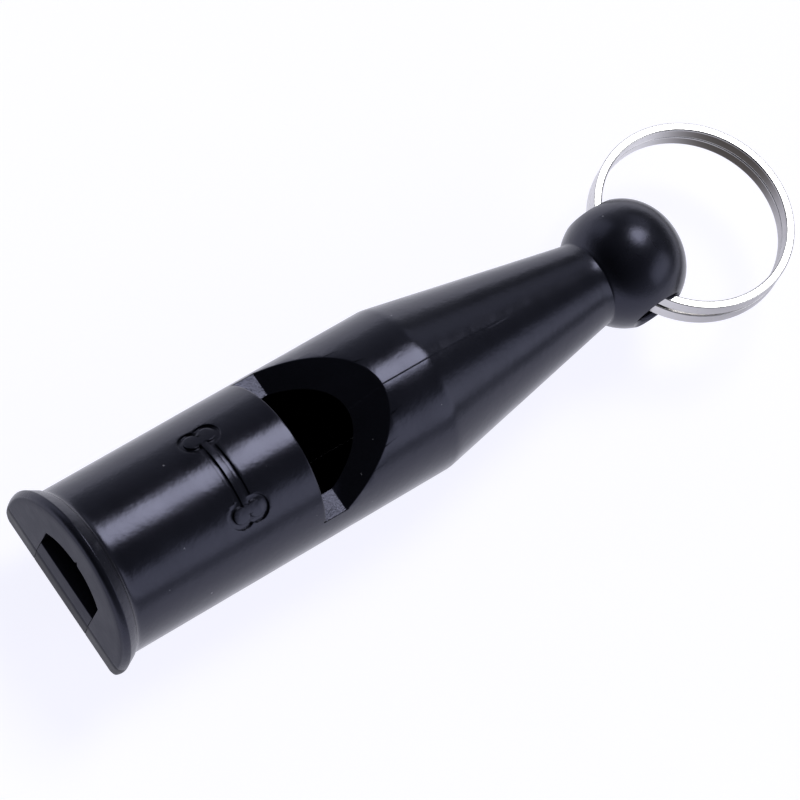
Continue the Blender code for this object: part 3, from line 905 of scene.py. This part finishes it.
# ---------------------------------------------------------------- floor
floor_mat, floor_tree, floor_bsdf = new_material("floor_pale")
floor_noise = node(floor_tree, "ShaderNodeTexNoise", Scale=40.0, Detail=3.0)
floor_tree.links.new(node(floor_tree, "ShaderNodeTexCoord").outputs["Object"], floor_noise.inputs["Vector"])
floor_mix = node(floor_tree, "ShaderNodeMix", data_type="RGBA")
floor_mix.inputs["A"].default_value = (0.24, 0.24, 0.26, 1.0)
floor_mix.inputs["B"].default_value = (0.26, 0.26, 0.28, 1.0)
floor_tree.links.new(floor_noise.outputs["Fac"], floor_mix.inputs["Factor"])
floor_tree.links.new(floor_mix.outputs["Result"], floor_bsdf.inputs["Base Color"])
floor_bsdf.inputs["Roughness"].default_value = 0.85
floor_bsdf.inputs["Specular IOR Level"].default_value = 0.2
floor_bsdf.inputs["Emission Color"].default_value = (0.905, 0.905, 1.0, 1.0)
floor_bsdf.inputs["Emission Strength"].default_value = 0.955
bpy.ops.mesh.primitive_plane_add(size=6.0, location=(0.0, 0.0, -0.00002))
floor = bpy.context.active_object
floor.name = "floor"
floor.data.materials.append(floor_mat)

# ---------------------------------------------------------------- light
world = bpy.data.worlds.new("studio")
bpy.context.scene.world = world
world.use_nodes = True
wt = world.node_tree
background = wt.nodes["Background"]
direction = node(wt, "ShaderNodeTexCoord").outputs["Generated"]
split = node(wt, "ShaderNodeSeparateXYZ")
wt.links.new(direction, split.inputs["Vector"])


def w_math(op, a, b=None, c=None):
    made = node(wt, "ShaderNodeMath", operation=op)
    for i, value in enumerate((a, b, c)):
        if value is None:
            continue
        if isinstance(value, (int, float)):
            made.inputs[i].default_value = value
        else:
            wt.links.new(value, made.inputs[i])
    return made.outputs["Value"]


def lobe(az, el, half_wide, half_high, level, edge):
    """A soft-edged rectangular light in the surroundings, in degrees."""
    a, e = math.radians(az), math.radians(el)
    forward = Vector((math.cos(e) * math.cos(a), math.cos(e) * math.sin(a), math.sin(e)))
    side = Vector((-math.sin(a), math.cos(a), 0.0))
    up = forward.cross(side)

    def dot(v):
        made = node(wt, "ShaderNodeVectorMath", operation="DOT_PRODUCT")
        wt.links.new(direction, made.inputs[0])
        made.inputs[1].default_value = v
        return made.outputs["Value"]

    ahead = w_math("MAXIMUM", dot(forward), 0.05)
    parts = []
    for vec, half in ((side, half_wide), (up, half_high)):
        offset = w_math("ABSOLUTE", w_math("DIVIDE", dot(vec), ahead))
        fade = node(wt, "ShaderNodeMapRange", interpolation_type="SMOOTHERSTEP")
        fade.inputs["From Min"].default_value = math.tan(math.radians(half)) * (1 - edge)
        fade.inputs["From Max"].default_value = math.tan(math.radians(half)) * (1 + edge)
        fade.inputs["To Min"].default_value = 1.0
        fade.inputs["To Max"].default_value = 0.0
        wt.links.new(offset, fade.inputs["Value"])
        parts.append(fade.outputs["Result"])
    facing = w_math("GREATER_THAN", dot(forward), 0.1)
    return w_math("MULTIPLY", w_math("MULTIPLY", w_math("MULTIPLY", parts[0], parts[1]), facing), level)


def ramp_of(value, stops):
    """Straight lines between (value, level) stops."""
    total = None
    for (v0, l0), (v1, l1) in zip(stops, stops[1:]):
        part = node(wt, "ShaderNodeMapRange", clamp=True)
        part.inputs["From Min"].default_value = v0
        part.inputs["From Max"].default_value = v1
        part.inputs["To Min"].default_value = 0.0
        part.inputs["To Max"].default_value = l1 - l0
        wt.links.new(value, part.inputs["Value"])
        total = part.outputs["Result"] if total is None else w_math("ADD", total, part.outputs["Result"])
    return w_math("ADD", total, stops[0][1])


sin = lambda degrees: math.sin(math.radians(degrees))
front = ramp_of(split.outputs["Z"], [(sin(-4), 0.93), (sin(1.5), 0.9), (sin(9), 0.55), (sin(25), 0.36), (sin(42), 0.17), (sin(90), 0.13)])
back = ramp_of(split.outputs["Z"], [(sin(-4), 0.93), (sin(1.5), 0.9), (sin(8), 0.5), (sin(16), 0.10), (sin(30), 0.015), (sin(60), 0.01), (sin(90), 0.08)])
toward_x = ramp_of(split.outputs["X"], [(-0.75, 0.0), (0.0, 1.0)])
far_side = ramp_of(split.outputs["Y"], [(-0.9, 0.84), (-0.35, 1.0), (0.15, 1.0), (0.85, 0.70)])
front = w_math("MULTIPLY", front, far_side)
shade = w_math("ADD", w_math("MULTIPLY", front, toward_x), w_math("MULTIPLY", back, w_math("SUBTRACT", 1.0, toward_x)))
lights = [
    lobe(33, 59.5, 10.8, 11.5, 7.0, 0.32),  # main softbox, high to the far side
    lobe(-52, 29, 20, 14, 1.2, 0.5),
    lobe(98, 20, 14, 15, 0.5, 0.5),
    lobe(38, 29, 13, 9, 0.33, 0.4),
]
# a darker stretch of the room low beyond the ball
shade = w_math("MULTIPLY", shade, w_math("SUBTRACT", 1.0, lobe(4, 12, 46, 18, 0.66, 0.5)))
for item in lights:
    shade = w_math("ADD", shade, item)
tint = node(wt, "ShaderNodeMix", data_type="RGBA")
tint.inputs["A"].default_value = (0.95, 0.98, 1.13, 1.0)
tint.inputs["B"].default_value = (1.0, 1.0, 1.0, 1.0)
bright = node(wt, "ShaderNodeMapRange", clamp=True)
bright.inputs["From Max"].default_value = 3.0
wt.links.new(shade, bright.inputs["Value"])
wt.links.new(bright.outputs["Result"], tint.inputs["Factor"])
wt.links.new(tint.outputs["Result"], background.inputs["Color"])
wt.links.new(shade, background.inputs["Strength"])

# ---------------------------------------------------------------- camera
camera_data = bpy.data.cameras.new("camera")
camera_data.lens = 225.0
camera_data.sensor_width = 36.0
camera_data.clip_start = 0.01
camera_data.clip_end = 20.0
camera = bpy.data.objects.new("camera", camera_data)
collection.objects.link(camera)
columns = Matrix(
    (
        (0.78778353, 0.45547278, -0.41465848),
        (-0.56146259, 0.80783514, -0.17933808),
        (0.25329208, 0.37409481, 0.89213015),
    )
)
camera.matrix_world = Matrix.Translation(TO_WORLD @ Vector((-174.861, -94.924, 468.525))) @ columns.to_4x4()
bpy.context.scene.camera = camera

bpy.context.scene.view_settings.view_transform = "Standard"
bpy.context.scene.view_settings.look = "None"

bpy.context.view_layer.update()
